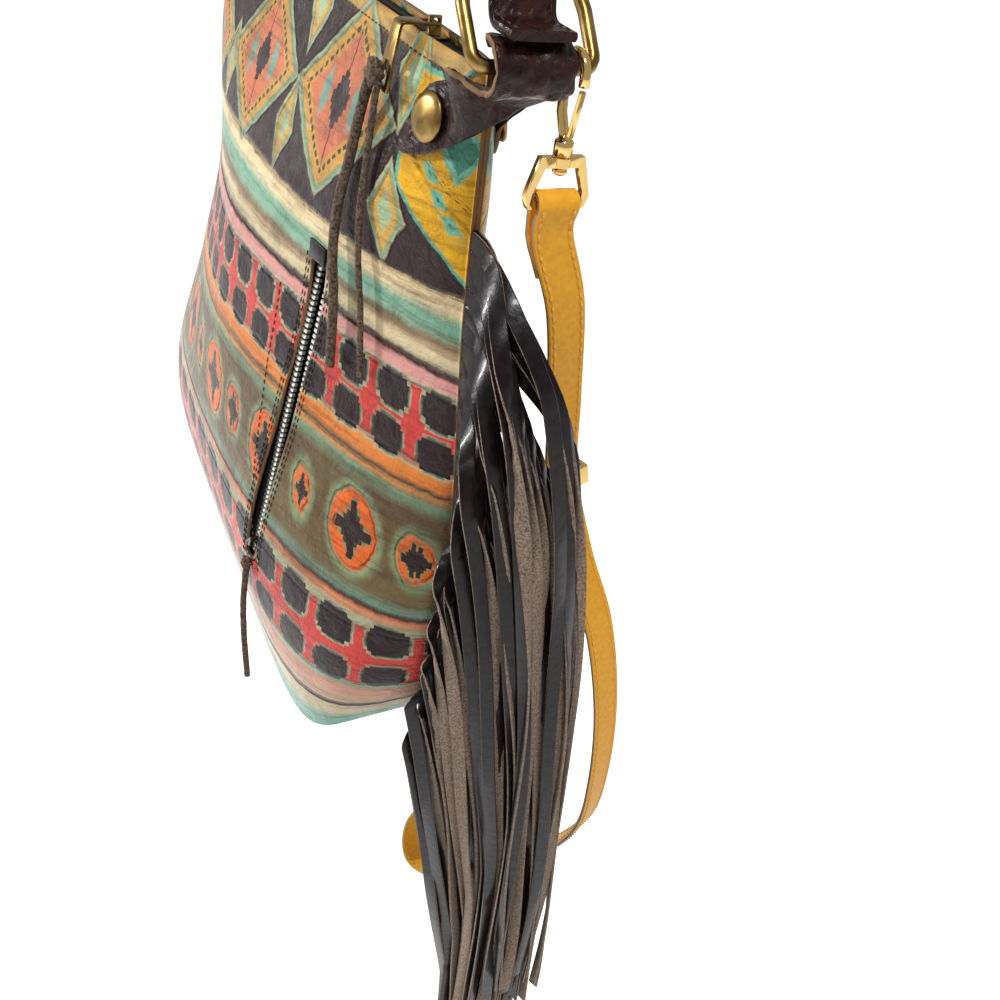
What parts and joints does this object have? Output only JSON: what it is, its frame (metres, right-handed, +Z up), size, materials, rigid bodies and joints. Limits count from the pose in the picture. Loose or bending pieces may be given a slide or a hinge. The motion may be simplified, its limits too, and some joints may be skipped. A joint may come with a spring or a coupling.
{
  "type": "crossbody bag",
  "caption": "Soft leather crossbody bag with painted bands, a zip mouth, a front zip pocket, a side fringe, ringed tabs, a handle and a clip-on strap",
  "frame": {"origin": "the underside of the top handle at its peak, where a hook or hand holds the bag", "axes": "+Z up, the front with its pocket zip faces -Y, the fringed side seam is at +X"},
  "size_m": [0.4245, 0.1934, 0.8438],
  "materials": {
    "painted_leather": "embossed leather with a painted traditional band and diamond pattern, worn gloss",
    "dark_leather": "very dark brown glossy leather, flesh side grey-brown suede",
    "yellow_leather": "ochre yellow matte leather with matching stitching",
    "suede_lace": "dark brown suede lace",
    "black_cloth": "black woven zip tape and pocketing",
    "nickel": "worn nickel, slightly warm",
    "antique_brass": "antique brass, satin",
    "gold_plate": "polished light gold plate"
  },
  "bodies": {
    "bag": {"front_panel": "painted_leather", "back_panel": "painted_leather", "front_pocket_bag": "black_cloth", "top_zip_tape_front": "black_cloth", "top_zip_tape_back": "black_cloth", "front_zip_tape_left": "black_cloth", "front_zip_tape_right": "black_cloth", "front_zip_end_patch": "dark_leather", "tab_right": "dark_leather", "tab_left": "dark_leather", "top_handle": "dark_leather", "fringe_right": "dark_leather", "strap": "yellow_leather", "rivet_front_right": "antique_brass", "rivet_back_right": "antique_brass", "rivet_front_left": "antique_brass", "rivet_back_left": "antique_brass", "d_loop_right": "gold_plate", "d_loop_left": "gold_plate", "strap_adjuster": "gold_plate"},
    "top_slider": {"top_zip_slider": "nickel"},
    "top_pull": {"top_zip_pull": "antique_brass", "top_zip_lace_long": "suede_lace", "top_zip_lace_short": "suede_lace"},
    "front_slider": {"front_zip_slider": "nickel"},
    "front_pull": {"front_zip_pull": "nickel", "front_zip_lace": "suede_lace"},
    "ring_right": {"ring_right": "antique_brass"},
    "ring_left": {"ring_left": "antique_brass"},
    "hook_right": {"hook_right": "gold_plate"},
    "hook_left": {"hook_left": "gold_plate"},
    "gate_right": {"gate_right": "gold_plate"},
    "gate_left": {"gate_left": "gold_plate"}
  },
  "joints": [
    {"name": "top_slider_slide", "type": "slide", "parent": "bag", "child": "top_slider", "axis": [-1, 0, 0], "range_m": [0, 0.258], "deforming": ["top_zip_lace_long", "top_zip_lace_short"]},
    {"name": "top_pull_hinge", "type": "hinge", "parent": "top_slider", "child": "top_pull", "pos_m": [0.119, 0, -0.0926], "axis": [-1, 0, 0], "range_deg": [0, 110]},
    {"name": "front_slider_slide", "type": "slide", "parent": "bag", "child": "front_slider", "axis": [0, 0.2032, 0.9791], "range_m": [0, 0.138], "deforming": ["front_zip_lace"]},
    {"name": "front_pull_hinge", "type": "hinge", "parent": "front_slider", "child": "front_pull", "pos_m": [0.09013, -0.06127, -0.33682], "axis": [-0.9749, -0.218, 0.0452], "range_deg": [0, 110]},
    {"name": "ring_right_hinge", "type": "hinge", "parent": "bag", "child": "ring_right", "pos_m": [0.19, 0, -0.089], "axis": [0, -1, 0], "range_deg": [-15, 30]},
    {"name": "hook_right_swivel", "type": "hinge", "parent": "bag", "child": "hook_right", "pos_m": [0.19, 0.0175, -0.1152], "axis": [0, 0, 1], "range_deg": [-12, 12]},
    {"name": "gate_right_hinge", "type": "hinge", "parent": "hook_right", "child": "gate_right", "pos_m": [0.193, 0.0175, -0.1084], "axis": [0, -1, 0], "range_deg": [0, 22], "stiffness_Nm_per_rad": 0.02},
    {"name": "ring_left_hinge", "type": "hinge", "parent": "bag", "child": "ring_left", "pos_m": [-0.19, 0, -0.089], "axis": [0, 1, 0], "range_deg": [-15, 30]},
    {"name": "hook_left_swivel", "type": "hinge", "parent": "bag", "child": "hook_left", "pos_m": [-0.19, 0.0175, -0.1152], "axis": [0, 0, 1], "range_deg": [-12, 12]},
    {"name": "gate_left_hinge", "type": "hinge", "parent": "hook_left", "child": "gate_left", "pos_m": [-0.193, 0.0175, -0.1084], "axis": [0, 1, 0], "range_deg": [0, 22], "stiffness_Nm_per_rad": 0.02}
  ]
}
